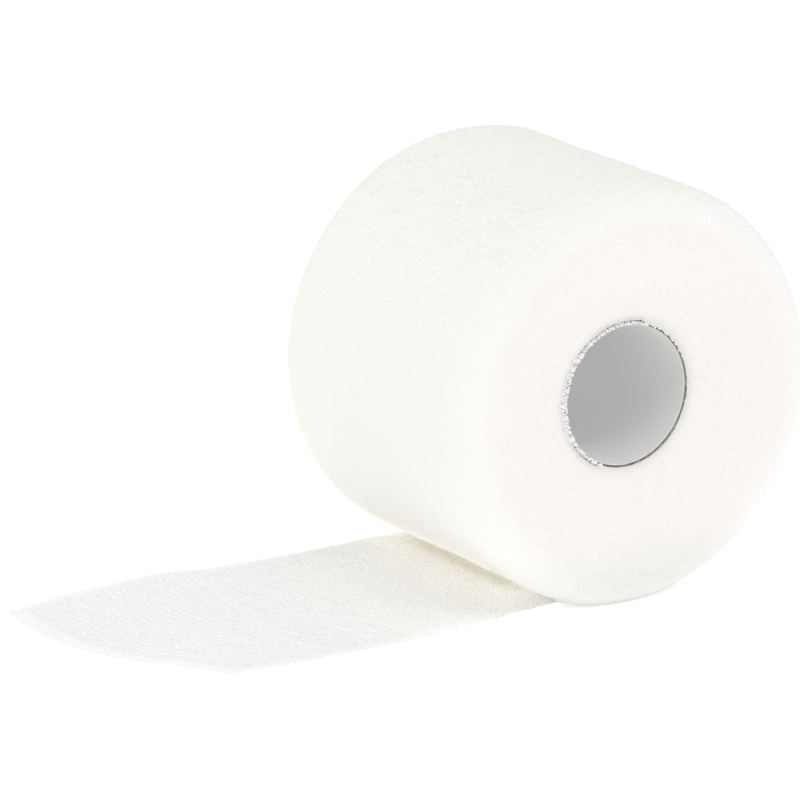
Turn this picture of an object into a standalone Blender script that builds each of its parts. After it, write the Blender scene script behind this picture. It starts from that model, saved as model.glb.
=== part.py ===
"""A roll of conforming gauze bandage lying on its side, its loose end drawn out along the floor.

Metres, +Z up. The floor is z = 0 and the origin is the middle of the small flat spot that the
roll's own weight presses into it. The roll's axis runs along Y, the camera of the reference looks
at its -Y end face, and the loose end runs towards -X from under the roll.
"""

import math

import bmesh
import bpy
from mathutils import Matrix, Vector

# Wound gauze
ROLL_WIDTH = 0.060          # over the end faces, the bandage's own width
ROLL_RADIUS = 0.0377        # where the outer turn leaves the roll
LAYER = 0.0004              # how far one turn lifts the next
AXIS_HEIGHT = 0.0366        # axis above the floor: the weight flattens 1.1 mm of the roll
SHOULDER = 0.007            # radius of the soft edge between barrel and end face
DISH_DEPTH = 0.0048         # how far the end faces sink in at the core
DISH_RADIUS = 0.029         # where the dishing starts
ROLL_STEPS = 96             # facets around the roll
SHOULDER_STEPS = 5
DISH_STEPS = 5

# Card core
CORE_OUTER = 0.0130
CORE_WALL = 0.0007
CORE_LENGTH = 0.0498
CORE_STEPS = 64

# Room that touching pieces keep
GAP = 0.0003
BORE_RADIUS = CORE_OUTER + GAP

# Outer turn's end, seen along +Y: the turn comes down the +X side, passes under the roll and
# leaves it here, this far round from straight down towards -X
TAKE_OFF = math.radians(20.5)
STEP_ANGLE = math.radians(1.0)   # the step beside the outer turn's end is this long

# Loose end
SHEET_THICKNESS = 0.001
SHEET_LENGTH_CELLS = 28
SHEET_WIDTH_CELLS = 16
CURL_WIDTH = 0.15            # share of the width over which each edge turns up
REACH = 0.0953               # how far the cut end lies from the origin
CUT_BOW = 0.0170             # how far the near corner of the cut end stays behind
CUT_BOW_SHARE = 0.75         # share of the width over which the cut end curves back
CUT_BOW_POWER = 1.65

# One row for each place along the loose end, counted from the roll (0) to the cut end (1):
# where its edges are, and how high its middle and its edges are carried above the floor
STATION_COLUMNS = ("along", "near_edge", "far_edge", "middle_lift", "near_lift", "far_lift")
STATIONS = [
    (0.00, -0.0230, 0.0252, 0.00042, 0.00042, 0.00042),
    (0.10, -0.0239, 0.0256, 0.00020, 0.00070, 0.00025),
    (0.25, -0.0250, 0.0254, 0.00000, 0.00060, 0.00020),
    (0.45, -0.0258, 0.0254, 0.00000, 0.00050, 0.00050),
    (0.62, -0.0257, 0.0261, 0.00000, 0.00060, 0.00140),
    (0.80, -0.0253, 0.0256, 0.00000, 0.00080, 0.00090),
    (1.00, -0.0245, 0.0243, 0.00000, 0.00110, 0.00030),
]

GAUZE_COLOUR = (0.92, 0.92, 0.89, 1.0)
GAUZE_ROUGHNESS = 0.9
CARD_COLOUR = (0.62, 0.62, 0.62, 1.0)
CARD_ROUGHNESS = 0.8
SHARP_ANGLE = math.radians(40)   # edges bent more than this are shaded sharp


def clear_scene():
    for item in list(bpy.data.objects):
        bpy.data.objects.remove(item, do_unlink=True)


def make_material(name, colour, roughness):
    material = bpy.data.materials.new(name)
    material.use_nodes = True
    shader = material.node_tree.nodes["Principled BSDF"]
    shader.inputs["Base Color"].default_value = colour
    shader.inputs["Roughness"].default_value = roughness
    shader.inputs["Metallic"].default_value = 0.0
    return material


def add_object(name, shape, material):
    mesh = bpy.data.meshes.new(name)
    bmesh.ops.recalc_face_normals(shape, faces=shape.faces[:])
    shape.to_mesh(mesh)
    shape.free()
    mesh.shade_smooth()
    mesh.set_sharp_from_angle(angle=SHARP_ANGLE)
    mesh.materials.append(material)
    item = bpy.data.objects.new(name, mesh)
    bpy.context.scene.collection.objects.link(item)
    return item


def smooth_rise(share):
    """0 at 0 and 1 at 1, level at both ends."""
    share = min(max(share, 0.0), 1.0)
    return share * share * (3.0 - 2.0 * share)


def spin_section(section, steps, start, sweep):
    """Turn a closed section of (radius, along the axis) points round the Y axis, from the angle
    start counted from straight down towards -X, and close the ring between its last and first
    section."""
    shape = bmesh.new()
    direction = Vector((-math.sin(start), 0.0, -math.cos(start)))
    ring = [shape.verts.new(direction * radius + Vector((0.0, along, 0.0))) for radius, along in section]
    edges = [shape.edges.new((ring[i], ring[(i + 1) % len(ring)])) for i in range(len(ring))]
    spun = bmesh.ops.spin(
        shape, geom=edges, cent=(0, 0, 0), axis=(0, 1, 0), angle=sweep, steps=steps - 1
    )
    last = [item for item in spun["geom_last"] if isinstance(item, bmesh.types.BMEdge)]
    bmesh.ops.bridge_loops(shape, edges=edges + last)
    return shape


def end_face_depth(radius):
    """How far the end face lies behind the foremost plane of the roll, at this radius."""
    return DISH_DEPTH * smooth_rise((DISH_RADIUS - radius) / (DISH_RADIUS - BORE_RADIUS))


def half_section():
    """The wound gauze's outline from the bore's rim to the barrel, on the side of positive Y."""
    half_width = ROLL_WIDTH / 2
    points = []
    for i in range(DISH_STEPS + 1):
        radius = BORE_RADIUS + (DISH_RADIUS - BORE_RADIUS) * i / DISH_STEPS
        points.append((radius, half_width - end_face_depth(radius)))
    for i in range(SHOULDER_STEPS + 1):
        turn = math.pi / 2 * i / SHOULDER_STEPS
        radius = ROLL_RADIUS - SHOULDER + SHOULDER * math.sin(turn)
        points.append((radius, half_width - SHOULDER + SHOULDER * math.cos(turn)))
    return points


def wound_radius(radius, share):
    """Radius of a point of the section after it has followed the outer turn for this share of a
    turn back from its end: each turn back lies one layer lower, and the bore stays round."""
    return radius - LAYER * share * (radius - BORE_RADIUS) / (ROLL_RADIUS - BORE_RADIUS)


def make_roll(material):
    """The wound gauze, its section turned round the axis, stepped at the outer turn's end and
    pressed flat on the floor."""
    half = half_section()
    section = half + [(radius, -along) for radius, along in reversed(half)]
    sweep = 2 * math.pi - STEP_ANGLE
    shape = spin_section(section, ROLL_STEPS, TAKE_OFF + STEP_ANGLE, sweep)
    for vert in shape.verts:
        radius = math.hypot(vert.co.x, vert.co.z)
        angle = math.atan2(-vert.co.x, -vert.co.z)
        followed = (angle - TAKE_OFF - STEP_ANGLE * 0.5) % (2 * math.pi)
        share = 1.0 - (followed - STEP_ANGLE * 0.5) / sweep
        scale = wound_radius(radius, share) / radius
        height = AXIS_HEIGHT + vert.co.z * scale
        vert.co = Vector((vert.co.x * scale, vert.co.y, max(height, 0.0)))
    return add_object("roll", shape, material)


def make_core(material):
    """The card tube in the roll's bore."""
    half = CORE_LENGTH / 2
    inner = CORE_OUTER - CORE_WALL
    section = [(inner, -half), (CORE_OUTER, -half), (CORE_OUTER, half), (inner, half)]
    sweep = 2 * math.pi * (CORE_STEPS - 1) / CORE_STEPS
    core = add_object("core", spin_section(section, CORE_STEPS, 0.0, sweep), material)
    core.matrix_world = Matrix.Translation((0.0, 0.0, AXIS_HEIGHT))
    return core


def station_value(column, along):
    """A column of STATIONS at this place, eased from one row to the next."""
    index = STATION_COLUMNS.index(column)
    for low, high in zip(STATIONS, STATIONS[1:]):
        if along <= high[0]:
            share = smooth_rise((along - low[0]) / (high[0] - low[0]))
            return low[index] + (high[index] - low[index]) * share
    return STATIONS[-1][index]


def cut_end(across):
    """X of the cut end at this share of the width, from the near edge (0) to the far edge (1)."""
    return CUT_BOW * max(1.0 - across / CUT_BOW_SHARE, 0.0) ** CUT_BOW_POWER - REACH


def sheet_point(along, across):
    """Middle surface of the loose end: along from the roll to the cut end, across from the near
    edge to the far one. Both edges turn up over CURL_WIDTH."""
    root = -(ROLL_RADIUS * math.sin(TAKE_OFF) + GAP)
    near = station_value("near_edge", along)
    far = station_value("far_edge", along)
    near_curl = smooth_rise(1.0 - across / CURL_WIDTH)
    far_curl = smooth_rise(1.0 - (1.0 - across) / CURL_WIDTH)
    lift = station_value("middle_lift", along)
    lift += (station_value("near_lift", along) - lift) * near_curl
    lift += (station_value("far_lift", along) - lift) * far_curl
    x = root + (cut_end(across) - root) * along
    return Vector((x, near + (far - near) * across, SHEET_THICKNESS / 2 + lift))


def make_loose_end(material):
    """The unrolled sheet, drawn on a grid and thickened evenly about its middle surface."""
    shape = bmesh.new()
    bmesh.ops.create_grid(
        shape, x_segments=SHEET_LENGTH_CELLS, y_segments=SHEET_WIDTH_CELLS, size=0.5
    )
    for vert in shape.verts:
        vert.co = sheet_point(vert.co.x + 0.5, vert.co.y + 0.5)
    sheet = add_object("loose_end", shape, material)
    solidify = sheet.modifiers.new("Thickness", "SOLIDIFY")
    solidify.thickness = SHEET_THICKNESS
    solidify.offset = 0.0
    return sheet


def build():
    clear_scene()
    gauze = make_material("gauze", GAUZE_COLOUR, GAUZE_ROUGHNESS)
    card = make_material("card", CARD_COLOUR, CARD_ROUGHNESS)
    make_roll(gauze)
    make_core(card)
    make_loose_end(gauze)


build()
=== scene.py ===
# A roll of conforming gauze bandage on its card core, with its loose end laid out on the floor.
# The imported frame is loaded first; the wound gauze, the core, the loose end and the yarn loops
# round the bore are then drawn over it in the same metres: +Z up, the roll's axis along Y.
import math

import bpy
import numpy as np
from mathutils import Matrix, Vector


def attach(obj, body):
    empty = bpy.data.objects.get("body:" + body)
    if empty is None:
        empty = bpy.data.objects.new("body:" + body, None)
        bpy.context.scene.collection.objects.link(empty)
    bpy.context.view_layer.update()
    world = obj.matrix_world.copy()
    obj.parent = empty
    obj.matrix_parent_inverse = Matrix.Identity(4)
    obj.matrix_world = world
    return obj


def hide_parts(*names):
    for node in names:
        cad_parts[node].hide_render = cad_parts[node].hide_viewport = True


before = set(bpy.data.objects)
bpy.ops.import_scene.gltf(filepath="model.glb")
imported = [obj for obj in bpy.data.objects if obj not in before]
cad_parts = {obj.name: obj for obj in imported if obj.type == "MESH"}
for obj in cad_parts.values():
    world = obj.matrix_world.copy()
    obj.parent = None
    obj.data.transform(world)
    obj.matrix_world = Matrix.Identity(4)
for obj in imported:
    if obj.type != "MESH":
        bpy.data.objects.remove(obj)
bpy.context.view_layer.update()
mm = 0.001
turn = 2.0 * math.pi
tiny = 1e-12  # keeps a division by a length of nothing finite
black = (0.0, 0.0, 0.0, 1.0)
white = (1.0, 1.0, 1.0, 1.0)
noiseSpread = (0.7, 1.6)  # shortest and longest wave of a noise against its own length
print("frame loaded")

# the roll as part.py draws it, and how its yarns lie
roll = {
    "halfWidth": 30.0 * mm,
    "radius": 37.7 * mm,  # where the outer turn leaves the roll
    "layer": 0.4 * mm,  # how far one turn lifts the next
    "axisHeight": 36.6 * mm,
    "shoulder": 7.0 * mm,  # radius of the soft edge
    "dishDepth": 4.8 * mm,
    "dishRadius": 29.0 * mm,
    "boreRadius": 13.3 * mm,
    "takeOff": math.radians(20.5),  # from straight down towards -X
    "step": math.radians(1.0),
    "columns": 652,
    "weftColumns": 4.0,  # of these for each weft round the roll
    "barrelRows": 145,
    "shoulderRows": 44,
    "faceRows": 98,
    "weftPitch": 1.45 * mm,
    "warpPitch": 1.28 * mm,
    "turnPitch": 0.70 * mm,  # ridges of the end faces, each a pair of turns
    "weftRelief": 0.13 * mm,
    "warpShare": 0.35,  # height of a warp against a weft
    "weftDip": 0.15,  # how much a weft dips where a warp crosses over it
    "meanHeight": 0.45,  # height of the weave that lies in the plain surface
    "weaveStart": 0.97,  # it sets in at this share of the face, and takes this share
    "weaveRise": 0.8,  # of the shoulder
    "lip": 0.50 * mm,  # how far the inmost turns reach over the card's rim
    "lipRun": 3.0,  # and over how many of its own lengths
    "faceRelief": 0.07 * mm,
    "ridgeRound": 0.8,  # power of a face's ridges: under 1 is fuller
    "loopRelief": 0.55,  # share of their height that the loops take
    "faceGrain": 0.035 * mm,
    "grainShare": 0.6,
    "pitRelief": 0.14 * mm,
    "pits": (1.6, 0.8),  # stretch of the noise over which they set in
    "grainWave": 2.0 * mm,
    "grainStretch": (1.0, 0.35, 1.0),  # less than 1 is longer that way
    "weaveGrain": 0.2,  # share of the weave's height that grain takes
    "loopGrain": 0.25,
    "addedFine": 0.10,  # noise that is added to the weave
    "addedGrain": 0.08,
    "fineWave": 1.0 * mm,
    "patchWave": 4.0 * mm,  # the yarns stand out in patches this long
    "patchStretch": (1.0, 0.5, 1.0),
    "patches": (0.35, 0.45),  # mean and spread of the patches
    "patchTop": (0.45, 1.1),  # their strength at the axis, and what the top adds
    "drift": 0.22 * mm,  # how far the yarns wander
    "driftWave": 8.0 * mm,
    "calm": 3.0 * mm,  # the drift dies out this near to the bore
    "lace": (1.0 * mm, -0.5 * mm),  # loops and holes beside the bore
    "holes": (0.7, 0.5),
    "holeWave": 0.9 * mm,
    "laceDepth": 0.16 * mm,
    "laceMiddle": 111.0,  # where they are, from straight down towards -X
    "laceHalf": (89.0, -8.0),  # and they end this many degrees from there
    "pitShade": 0.8,  # painted shade in pits and holes: how dark they are
    "holeShade": 0.4,
    "boreShade": [(0.85, 0.65 * mm), (0.1, 4.0 * mm)],  # shares of the painted shade at the bore, and reach
    "under": (5.5 * mm, 2.3 * mm),  # painted glow: the barrel's underside glows up to this height, then fades
    "underAlong": (-26.0 * mm, 14.0 * mm),  # and glows from here on along the axis
    "low": (15.0 * mm, -13.0 * mm),  # painted shade: the near shoulder is darker below this height
    "lowAlong": (-28.0 * mm, 20.0 * mm),  # and less and less from here along the axis
    "sway": 0.10 * mm,  # unevenness of the whole form
    "swayWave": 26.0 * mm,
}


# s^2 (3 - 2 s), with s held between 0 and 1
def smoothRise(share):
    share = np.clip(share, 0.0, 1.0)
    return share * share * (3.0 - 2.0 * share)


# smoothRise((value - start) / length) for a stretch (start, length); a length below 0 runs back
def over(value, stretch):
    return smoothRise((value - stretch[0]) / stretch[1])


# sum of cos(k . p + phase) over random directions k of length 2 pi / wavelength, of unit spread
def softNoise(points, wavelength, seed, count=20):
    rng = np.random.default_rng(seed)
    ways = rng.normal(size=(count, 3))
    ways /= np.linalg.norm(ways, axis=1, keepdims=True)
    ways *= turn / (wavelength * rng.uniform(*noiseSpread, (count, 1)))
    phases = rng.uniform(0.0, turn, count)
    return np.cos(points @ ways.T + phases).sum(axis=-1) * math.sqrt(2.0 / count)


# a mesh of vertices (n, 3) and of arrays of faces (m, corners), shaded smooth, with its UV maps
# (a pair for each corner), numbers for each vertex and normals for each vertex
def newMesh(name, vertices, faceSets, maps=None, numbers=None, normals=None):
    mesh = bpy.data.meshes.new(name)
    corners = np.concatenate([faces.ravel() for faces in faceSets])
    counts = np.concatenate([np.full(len(faces), faces.shape[1]) for faces in faceSets])
    starts = np.concatenate([[0], np.cumsum(counts)[:-1]])
    mesh.vertices.add(len(vertices))
    mesh.vertices.foreach_set("co", np.ascontiguousarray(vertices, dtype=np.float32).ravel())
    mesh.loops.add(len(corners))
    mesh.loops.foreach_set("vertex_index", corners.astype(np.int32))
    mesh.polygons.add(len(counts))
    mesh.polygons.foreach_set("loop_start", starts.astype(np.int32))
    for key, pairs in (maps or {}).items():
        layer = mesh.uv_layers.new(name=key)
        layer.data.foreach_set("uv", np.ascontiguousarray(pairs, dtype=np.float32).ravel())
    for key, values in (numbers or {}).items():
        made = mesh.attributes.new(key, "FLOAT", "POINT")
        made.data.foreach_set("value", np.ascontiguousarray(values, dtype=np.float32).ravel())
    mesh.update(calc_edges=True)
    mesh.validate()
    mesh.shade_smooth()
    if normals is not None:
        mesh.normals_split_custom_set_from_vertices(normals.reshape(-1, 3))
    piece = bpy.data.objects.new(name, mesh)
    bpy.context.scene.collection.objects.link(piece)
    return piece


# a piece of the object: it rides on the one body and takes the finish it is given
def dress(piece, finish, slotName, *nodes):
    piece.data.materials.append(finish)
    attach(piece, "root")
    if nodes:
        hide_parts(*nodes)
    faces = sum(len(face.vertices) - 2 for face in piece.data.polygons)
    print(piece.name, "-", faces, "triangles")
    return piece


# quads of a grid (rows, columns) of vertices, closed round its rows or columns where it says so,
# with the row and the column that each corner has before it is wound back to the start
def gridFaces(rows, columns, roundRows, roundColumns):
    i, j = np.meshgrid(
        np.arange(rows if roundRows else rows - 1),
        np.arange(columns if roundColumns else columns - 1),
        indexing="ij",
    )
    i = i.reshape(-1, 1) + np.array([0, 0, 1, 1])
    j = j.reshape(-1, 1) + np.array([0, 1, 1, 0])
    return (i % rows) * columns + j % columns, i, j


# yarns as tubes round paths (count, steps, 3): rings of corners, wide across the path and thick
# along its upward side, with a flat cap at either end; gives vertices, faces and (length, round)
def yarnTubes(paths, up, wide, thick, corners):
    count, steps = paths.shape[:2]
    ahead = np.gradient(paths, axis=1)
    ahead /= np.maximum(np.linalg.norm(ahead, axis=2, keepdims=True), tiny)
    side = np.cross(ahead, up)
    side /= np.maximum(np.linalg.norm(side, axis=2, keepdims=True), tiny)
    above = np.cross(side, ahead)
    round_ = turn * np.arange(corners) / corners
    wide = np.broadcast_to(wide, (count, steps))[..., None, None]
    thick = np.broadcast_to(thick, (count, steps))[..., None, None]
    ring = side[:, :, None] * np.cos(round_)[:, None] * wide
    ring = ring + above[:, :, None] * np.sin(round_)[:, None] * thick
    vertices = (paths[:, :, None] + ring).reshape(-1, 3)
    quads, i, j = gridFaces(steps, corners, False, True)
    start = np.arange(count)[:, None, None] * steps * corners
    rings = np.arange(corners)
    caps = np.concatenate([start[:, 0] + rings, start[:, 0] + (steps - 1) * corners + rings[::-1]])
    run = np.linalg.norm(np.diff(paths, axis=1), axis=2)
    run = np.concatenate([np.zeros((count, 1)), np.cumsum(run, axis=1)], axis=1)
    around = np.broadcast_to(j[:, ::-1] / corners, (count,) + j.shape)
    pairs = np.stack([run[:, i[:, ::-1]], around], axis=-1)
    capPairs = np.zeros((len(caps), corners, 2))
    faces = [(quads[:, ::-1] + start).reshape(-1, 4), caps]
    return vertices, faces, np.concatenate([pairs.reshape(-1, 2), capPairs.reshape(-1, 2)])


# several parts, each of vertices, faces of two kinds and a pair for each corner, made into one
def joined(parts):
    starts = np.cumsum([0] + [len(part[0]) for part in parts])
    vertices = np.concatenate([part[0] for part in parts])
    faces = []
    pairs = []
    for kind in (0, 1):
        faces.append(np.concatenate([part[1][kind] + start for part, start in zip(parts, starts)]))
        cuts = [part[1][0].size for part in parts]
        pairs += [part[2][:cut] if kind == 0 else part[2][cut:] for part, cut in zip(parts, cuts)]
    return vertices, faces, np.concatenate(pairs)


fineNoise = (2.0, 0.6)  # detail and roughness of fine noise
softPatches = (1.0, 0.5)  # and of soft patches
cotton = {"Roughness": 0.9, "Sheen_Weight": 0.1, "Emission_Strength": 1.0}


# one socket of a finish; + - and * add Math nodes to it
class Wire:
    def __init__(self, finish, socket):
        self.finish = finish
        self.socket = socket

    def sum(self, operation, *values):
        return self.finish.node("ShaderNodeMath", {"operation": operation}, dict(enumerate(values)))

    def __add__(self, other):
        return self.sum("ADD", self, other)

    def __sub__(self, other):
        return self.sum("SUBTRACT", self, other)

    def __rsub__(self, other):
        return self.sum("SUBTRACT", other, self)

    def __mul__(self, other):
        return self.sum("MULTIPLY", self, other)

    def cos(self):
        return self.sum("COSINE", self)

    def top(self, other):
        return self.sum("MAXIMUM", self, other)


# a material: node() adds any node, with its settings first and then its sockets
class Finish:
    def __init__(self, name, **constants):
        self.material = bpy.data.materials.new(name)
        self.material.use_nodes = True
        self.material.cycles.emission_sampling = "NONE"
        self.tree = self.material.node_tree
        self.shader = self.tree.nodes["Principled BSDF"]
        for key, value in constants.items():
            self.shader.inputs[key.replace("_", " ")].default_value = value

    def feed(self, socket, value):
        if isinstance(value, Wire):
            self.tree.links.new(value.socket, socket)
        else:
            socket.default_value = value

    def node(self, kind, settings=None, sockets=None, output=0):
        made = self.tree.nodes.new(kind)
        for key, value in (settings or {}).items():
            setattr(made, key, value)
        for key, value in (sockets or {}).items():
            self.feed(made.inputs[key], value)
        return Wire(self, made.outputs[output])

    def noise(self, place, scale, detail=2.0, roughness=0.5):
        sockets = {"Vector": place, "Scale": scale, "Detail": detail, "Roughness": roughness}
        return self.node("ShaderNodeTexNoise", None, sockets)

    def smoothStep(self, value, low, high):
        settings = {"interpolation_type": "SMOOTHSTEP"}
        sockets = {"Value": value, "From Min": low, "From Max": high}
        return self.node("ShaderNodeMapRange", settings, sockets)

    def blend(self, mask, first, second):
        return self.node("ShaderNodeMix", {"data_type": "RGBA"}, {0: mask, 6: first, 7: second}, 2)

    def tones(self, value, edges, first, second):
        return self.blend(self.smoothStep(value, *edges), first, second)

    def place(self, scale=(1.0, 1.0, 1.0)):
        where = self.node("ShaderNodeTexCoord", None, None, "Object")
        return self.node("ShaderNodeMapping", None, {"Vector": where, "Scale": scale})

    def number(self, name):
        return self.node("ShaderNodeAttribute", {"attribute_name": name}, None, "Fac")

    def pair(self, name):
        both = self.node("ShaderNodeUVMap", {"uv_map": name})
        return [self.node("ShaderNodeSeparateXYZ", None, {0: both}, axis) for axis in (0, 1)]

    def bump(self, height, distance, strength=1.0, under=None):
        sockets = {"Height": height, "Distance": distance, "Strength": strength}
        if under is not None:
            sockets["Normal"] = under
        return self.node("ShaderNodeBump", None, sockets)

    def set(self, **sockets):
        for key, value in sockets.items():
            self.feed(self.shader.inputs[key.replace("_", " ")], value)
        return self.material


# tones and pattern of the wound gauze
woundLook = {
    # painted shade: the darker tone of the weave's gaps and of the end faces' pits and holes
    "gap": (0.898, 0.889, 0.855, 1.0),
    # painted shade and painted highlights of the fibres: dark flecks and light sparks
    "shadeFleck": (0.857, 0.857, 0.828, 1.0),
    "highlightSpark": (0.964, 0.964, 0.949, 1.0),
    # painted shade beside the bore
    "bore": (0.765, 0.765, 0.740, 1.0),
    # painted shade on the low near shoulder
    "low": (0.810, 0.805, 0.780, 1.0),
    "paintedGlow": (0.250, 0.228, 0.204, 1.0),  # painted glow on the underside, standing in for light that soaks through
    "warm": (0.930, 0.905, 0.862, 1.0),
    "warmer": (0.925, 0.899, 0.854, 1.0),
    "cool": (0.935, 0.930, 0.887, 1.0),
    # painted highlight: the paler, cooler band where the shoulders round
    "shoulder": (0.932, 0.934, 0.918, 1.0),
    "driftScale": 60.0,  # patches of the end faces' tone
    "driftEdges": (0.35, 0.65),
    "shoulderPeak": 4.0,  # makes b (1 - b) reach 1 halfway, where the shoulder is
    "gapShadeEdges": (-0.1, 0.4),
    "grainStretch": (1.0, 0.45, 1.0),  # less than 1 is longer that way
    "grainScale": 1900.0,
    "shadeFleckEdges": (0.54, 0.70),
    "highlightSparkEdges": (0.46, 0.32),
    "grainTop": 0.8,  # share of the painted flecks and sparks that only the top has, where the light grazes
    "stretch": (1.0, 0.5, 1.0),
    "speckScale": 1500.0,
    "speckBump": (0.5, 0.9),  # heights on the faces, and what the barrel adds
    "patchScale": 260.0,
    "patchEdges": (0.45, 0.62),
    "warpRidge": (0.6, 0.4),  # height of the warps' wave and how low it lies
    "yarnBump": 0.6,
    "turnBump": 0.12,
    "fibreStretch": (1.0, 0.4, 1.0),
    "fibreScale": 3200.0,
    "fibreBump": (0.2, 0.5),
    "bump": 0.07 * mm,
}


# cotton wound up: warm end faces, and paler, cooler shoulders painted as a highlight; painted
# shade in the gaps of the weave, in pits and holes, beside the bore and on the low near shoulder;
# dark flecks and light sparks of painted shade and highlight, mostly on the top; a painted glow on
# the underside; and the bump of the yarns on the barrel, of single turns on the end faces and of
# fibres everywhere
def woundFinish():
    look = woundLook
    finish = Finish("woundGauze", **cotton)
    wefts, warps = finish.pair("weave")
    turns = finish.pair("turns")[1]
    gapShadeHeight = finish.number("gapShadeHeight")
    onBarrel = finish.number("onBarrel")
    drift = finish.noise(finish.place(), look["driftScale"], *softPatches)
    tone = finish.tones(drift, look["driftEdges"], look["warm"], look["warmer"])
    tone = finish.blend(onBarrel, tone, look["cool"])
    # painted highlight: a paler, cooler band on the shoulders
    tone = finish.blend(onBarrel * (1.0 - onBarrel) * look["shoulderPeak"], tone, look["shoulder"])
    colour = finish.tones(gapShadeHeight, look["gapShadeEdges"], look["gap"], tone)
    grain = finish.noise(finish.place(look["grainStretch"]), look["grainScale"], *fineNoise)
    # painted shade and painted highlights as flecks and sparks, mostly on the top where light grazes
    share = (finish.number("top") * look["grainTop"] + (1.0 - look["grainTop"])) * onBarrel
    for name in ("shadeFleck", "highlightSpark"):
        mask = finish.smoothStep(grain, *look[name + "Edges"]) * share
        colour = finish.blend(mask, colour, look[name])
    # painted shade beside the bore and on the low near shoulder
    for name in ("bore", "low"):
        colour = finish.blend(finish.number(name), colour, look[name])
    # painted glow on the barrel's underside
    under = finish.blend(finish.number("under"), black, look["paintedGlow"])
    speck = finish.noise(finish.place(look["stretch"]), look["speckScale"], *fineNoise)
    patch = finish.noise(finish.place(look["stretch"]), look["patchScale"], *softPatches)
    patch = finish.smoothStep(patch, *look["patchEdges"])
    high, drop = look["warpRidge"]
    yarn = (wefts * turn).cos().top((warps * turn).cos() * high - drop) * 0.5 + 0.5
    layers = (turns * (2.0 * turn)).cos() * 0.5 + 0.5
    fibre = finish.noise(finish.place(look["fibreStretch"]), look["fibreScale"], *fineNoise)
    pattern = yarn * patch * onBarrel * look["yarnBump"] + layers * (1.0 - onBarrel) * look["turnBump"]
    height = pattern
    for noise, (plain, added) in ((fibre, look["fibreBump"]), (speck, look["speckBump"])):
        height = height + noise * (onBarrel * added + plain)
    return finish.set(Base_Color=colour, Emission_Color=under, Normal=finish.bump(height, look["bump"]))


# points (-r sin w, y, axis height - r cos w) at these radii r, angles w and places y along the axis
def roundAxis(radius, angle, along):
    x = -np.sin(angle) * radius
    z = roll["axisHeight"] - np.cos(angle) * radius
    return np.stack([x, np.broadcast_to(along, x.shape), z], axis=-1)


# how far an end face lies behind the foremost plane: depth * smoothRise((dish - r) / (dish - bore))
def dishDepth(radius):
    share = (roll["dishRadius"] - radius) / (roll["dishRadius"] - roll["boreRadius"])
    return roll["dishDepth"] * smoothRise(share)


faceLength = roll["radius"] - roll["shoulder"] - roll["boreRadius"]
shoulderLength = roll["shoulder"] * math.pi / 2
barrelLength = 2 * (roll["halfWidth"] - roll["shoulder"])
sectionLength = 2 * (faceLength + shoulderLength) + barrelLength


# share of lace at this angle: 1 round its middle, and 0 from its half width on
def laceShare(angle):
    away = np.abs((np.degrees(angle) - roll["laceMiddle"] + 180.0) % 360.0 - 180.0)
    return over(away, roll["laceHalf"])


# outline of the roll by length from the near bore rim: from the lip that reaches in over the card
# straight out over the dished face, round the shoulder, along the barrel, and the same back;
# where there is lace, the lip stays away and leaves its place to the loops
def section(length, lace=0.0):
    near = np.minimum(length, sectionLength - length)
    bend = np.clip((near - faceLength) / roll["shoulder"], 0.0, math.pi / 2)
    inner = roll["radius"] - roll["shoulder"]
    flat = np.minimum(roll["boreRadius"] + near, inner)
    lip = roll["lip"] * (1.0 - lace) * (1.0 - smoothRise(near / (roll["lipRun"] * roll["lip"])))
    radius = flat - lip + roll["shoulder"] * np.sin(bend)
    along = dishDepth(flat) - roll["halfWidth"] + roll["shoulder"] * (1.0 - np.cos(bend))
    along = along + np.maximum(near - faceLength - shoulderLength, 0.0)
    return radius, np.where(length > sectionLength / 2, -along, along)


# the section at its angle from straight down towards -X; each turn back from the outer end lies
# one layer lower: r - layer * share * (r - bore) / (R - bore)
def woundPoint(length, angle):
    radius, along = section(length, laceShare(angle))
    share = 1.0 - (angle - roll["takeOff"] - roll["step"]) / (turn - roll["step"])
    depth = (radius - roll["boreRadius"]) / (roll["radius"] - roll["boreRadius"])
    return roundAxis(radius - roll["layer"] * share * depth, angle, along)


# unit normals of a grid of points: cross product of its steps along rows and along columns
def gridNormals(points):
    down = np.gradient(points, axis=0)
    beside = np.gradient(points, axis=1)
    normals = np.cross(beside, down)
    return normals / np.maximum(np.linalg.norm(normals, axis=-1, keepdims=True), tiny)


# height of the woven barrel, 0 to 1, from the number of wefts and warps counted so far: a weft is
# a rounded ridge that dips a little where a warp crosses over it, and the warps lie lower between
def weaveHeight(wefts, warps):
    weftRidge = 0.5 + 0.5 * np.cos(turn * wefts)
    warpRidge = 0.5 + 0.5 * np.cos(turn * warps)
    crossing = np.cos(math.pi * np.round(wefts)) * np.cos(math.pi * warps)
    dip = roll["weftDip"]
    return np.maximum(weftRidge * (1.0 - dip + dip * crossing), warpRidge * roll["warpShare"])


# height of an end face, 0 to 1: a spiral of ridges, each a row of yarn loops; the row's own
# length is the integral of its radius, b + p (1/2 - w / 2 pi), over the angle w wound so far
def faceHeight(radius, angle):
    pitch = roll["turnPitch"]
    spiral = (radius - roll["boreRadius"]) / pitch + angle / turn
    row = np.floor(spiral)
    wound = angle - turn * row
    run = (roll["boreRadius"] + pitch / 2) * wound - pitch * wound**2 / (2.0 * turn)
    ridge = np.sin(math.pi * (spiral - row)) ** roll["ridgeRound"]
    loops = 0.5 + 0.5 * np.cos(turn * run / roll["weftPitch"])
    return ridge * (1.0 - roll["loopRelief"] * (1.0 - loops)), spiral


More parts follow.
